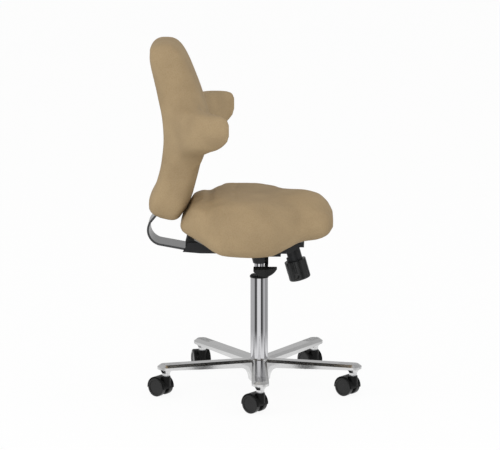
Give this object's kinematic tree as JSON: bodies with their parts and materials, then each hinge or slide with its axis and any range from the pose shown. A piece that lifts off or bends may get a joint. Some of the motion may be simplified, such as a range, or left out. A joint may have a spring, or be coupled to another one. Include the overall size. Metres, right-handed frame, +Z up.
{
  "type": "saddle work chair",
  "caption": "Height-adjustable saddle chair on a five-arm base with casters, a sliding saddle seat, a tilt mechanism with tension knob and a winged backrest.",
  "frame": {"origin": "on the floor under the column axis", "axes": "+X toward the front of the seat, +Y to the sitter's left, +Z up"},
  "size_m": [0.6113, 0.5895, 1.0085],
  "materials": {
    "upholstery": "tan artificial leather over foam",
    "polished_aluminium": "polished cast aluminium",
    "chrome": "chrome-plated steel tube",
    "black_steel": "black powder coat",
    "black_plastic": "moulded black plastic",
    "zinc_steel": "zinc-plated steel",
    "bearing_bronze": "sintered bronze",
    "moulded_shell": "moulded shell"
  },
  "bodies": {
    "base": {"star_base": "polished_aluminium", "column_tube": "chrome", "column_bush": "black_plastic", "thrust_bearing": "zinc_steel", "caster_stems": "zinc_steel"},
    "swivel": {"piston_rod": "zinc_steel", "rod_clip": "zinc_steel"},
    "lift": {"gas_cylinder": "zinc_steel", "rod_guide": "black_plastic", "mechanism_tray": "black_steel", "pivot_bushes": "bearing_bronze", "lever_pin": "zinc_steel"},
    "valve": {"valve_pin": "zinc_steel"},
    "lever": {"height_lever": "black_plastic"},
    "tilt": {"tilt_frame": "black_steel", "pivot_pin": "zinc_steel", "pivot_clips": "zinc_steel", "rear_cover": "black_plastic", "spring_cup": "black_steel", "tension_spring": "zinc_steel", "slide_rails": "zinc_steel", "latch_pin": "zinc_steel", "back_bar": "black_steel", "bar_spacer": "black_steel", "bar_bolts": "zinc_steel"},
    "knob": {"tension_knob": "black_plastic", "tension_spindle": "zinc_steel"},
    "nut": {"tension_nut": "zinc_steel"},
    "latch": {"slide_latch": "black_plastic"},
    "seat": {"seat_cushion": "upholstery", "seat_shell": "moulded_shell", "seat_screws": "zinc_steel", "slide_runners": "black_plastic", "latch_rack": "zinc_steel"},
    "back": {"back_cushion": "upholstery", "back_shell": "moulded_shell", "back_carrier": "black_steel"},
    "caster_1": {"caster_1_hood": "black_plastic", "caster_1_axle": "zinc_steel"},
    "wheel_1_right": {"caster_1_wheel_right": "black_plastic"},
    "wheel_1_left": {"caster_1_wheel_left": "black_plastic"},
    "caster_2": {"caster_2_hood": "black_plastic", "caster_2_axle": "zinc_steel"},
    "wheel_2_right": {"caster_2_wheel_right": "black_plastic"},
    "wheel_2_left": {"caster_2_wheel_left": "black_plastic"},
    "caster_3": {"caster_3_hood": "black_plastic", "caster_3_axle": "zinc_steel"},
    "wheel_3_right": {"caster_3_wheel_right": "black_plastic"},
    "wheel_3_left": {"caster_3_wheel_left": "black_plastic"},
    "caster_4": {"caster_4_hood": "black_plastic", "caster_4_axle": "zinc_steel"},
    "wheel_4_right": {"caster_4_wheel_right": "black_plastic"},
    "wheel_4_left": {"caster_4_wheel_left": "black_plastic"},
    "caster_5": {"caster_5_hood": "black_plastic", "caster_5_axle": "zinc_steel"},
    "wheel_5_right": {"caster_5_wheel_right": "black_plastic"},
    "wheel_5_left": {"caster_5_wheel_left": "black_plastic"}
  },
  "joints": [
    {"name": "column_swivel", "type": "hinge", "parent": "base", "child": "swivel", "pos_m": [0, 0, 0.0285], "axis": [0, 0, 1], "continuous": true},
    {"name": "gas_lift", "type": "slide", "parent": "swivel", "child": "lift", "axis": [0, 0, 1], "range_m": [0, 0.2]},
    {"name": "lever_pull", "type": "hinge", "parent": "lift", "child": "lever", "pos_m": [0.022, -0.03, 0.4075], "axis": [-1, 0, 0], "range_deg": [0, 7], "stiffness_Nm_per_rad": 0.8, "springref_deg": -11.46},
    {"name": "valve_press", "type": "slide", "parent": "lift", "child": "valve", "axis": [0, 0, -1], "range_m": [0, 0.005]},
    {"name": "seat_tilt", "type": "hinge", "parent": "lift", "child": "tilt", "pos_m": [0.042, 0, 0.4165], "axis": [0, -1, 0], "range_deg": [0, 12], "stiffness_Nm_per_rad": 120, "springref_deg": -11.46, "deforming": ["tension_spring"]},
    {"name": "knob_turn", "type": "hinge", "parent": "tilt", "child": "knob", "pos_m": [0.1175, 0, 0.3235], "axis": [-0.2756, 0, 0.9613], "range_deg": [0, 1800]},
    {"name": "nut_feed", "type": "slide", "parent": "tilt", "child": "nut", "axis": [-0.2756, 0, 0.9613], "range_m": [0, 0.01]},
    {"name": "latch_set", "type": "hinge", "parent": "tilt", "child": "latch", "pos_m": [-0.058, 0.044, 0.4245], "axis": [-1, 0, 0], "range_deg": [0, 5]},
    {"name": "seat_slide", "type": "slide", "parent": "tilt", "child": "seat", "axis": [1, 0, 0], "range_m": [0, 0.12]},
    {"name": "back_height", "type": "slide", "parent": "tilt", "child": "back", "axis": [0.2317, 0, 0.9728], "range_m": [0, 0.07]},
    {"name": "caster_1_swivel", "type": "hinge", "parent": "base", "child": "caster_1", "pos_m": [0.00977, -0.27983, 0.0585], "axis": [0, 0, 1], "continuous": true},
    {"name": "wheel_1_right_spin", "type": "hinge", "parent": "caster_1", "child": "wheel_1_right", "pos_m": [-0.0062, -0.26779, 0.027], "axis": [0.6018, 0.7986, 0], "continuous": true},
    {"name": "wheel_1_left_spin", "type": "hinge", "parent": "caster_1", "child": "wheel_1_left", "pos_m": [-0.0062, -0.26779, 0.027], "axis": [0.6018, 0.7986, 0], "continuous": true},
    {"name": "caster_2_swivel", "type": "hinge", "parent": "base", "child": "caster_2", "pos_m": [0.26915, -0.07718, 0.0585], "axis": [0, 0, 1], "continuous": true},
    {"name": "wheel_2_right_spin", "type": "hinge", "parent": "caster_2", "child": "wheel_2_right", "pos_m": [0.25318, -0.06514, 0.027], "axis": [0.6018, 0.7986, 0], "continuous": true},
    {"name": "wheel_2_left_spin", "type": "hinge", "parent": "caster_2", "child": "wheel_2_left", "pos_m": [0.25318, -0.06514, 0.027], "axis": [0.6018, 0.7986, 0], "continuous": true},
    {"name": "caster_3_swivel", "type": "hinge", "parent": "base", "child": "caster_3", "pos_m": [0.15657, 0.23213, 0.0585], "axis": [0, 0, 1], "continuous": true},
    {"name": "wheel_3_right_spin", "type": "hinge", "parent": "caster_3", "child": "wheel_3_right", "pos_m": [0.14372, 0.24745, 0.027], "axis": [0.766, 0.6428, 0], "continuous": true},
    {"name": "wheel_3_left_spin", "type": "hinge", "parent": "caster_3", "child": "wheel_3_left", "pos_m": [0.14372, 0.24745, 0.027], "axis": [0.766, 0.6428, 0], "continuous": true},
    {"name": "caster_4_swivel", "type": "hinge", "parent": "base", "child": "caster_4", "pos_m": [-0.17239, 0.22064, 0.0585], "axis": [0, 0, 1], "continuous": true},
    {"name": "wheel_4_right_spin", "type": "hinge", "parent": "caster_4", "child": "wheel_4_right", "pos_m": [-0.17722, 0.24005, 0.027], "axis": [0.9703, 0.2419, 0], "continuous": true},
    {"name": "wheel_4_left_spin", "type": "hinge", "parent": "caster_4", "child": "wheel_4_left", "pos_m": [-0.17722, 0.24005, 0.027], "axis": [0.9703, 0.2419, 0], "continuous": true},
    {"name": "caster_5_swivel", "type": "hinge", "parent": "base", "child": "caster_5", "pos_m": [-0.26311, -0.09577, 0.0585], "axis": [0, 0, 1], "continuous": true},
    {"name": "wheel_5_right_spin", "type": "hinge", "parent": "caster_5", "child": "wheel_5_right", "pos_m": [-0.27909, -0.08373, 0.027], "axis": [0.6018, 0.7986, 0], "continuous": true},
    {"name": "wheel_5_left_spin", "type": "hinge", "parent": "caster_5", "child": "wheel_5_left", "pos_m": [-0.27909, -0.08373, 0.027], "axis": [0.6018, 0.7986, 0], "continuous": true}
  ],
  "couplings": [
    {"joint": "valve_press", "follows": "lever_pull", "m_per_rad": 0.034377},
    {"joint": "nut_feed", "follows": "knob_turn", "m_per_rad": 0.00031831}
  ]
}
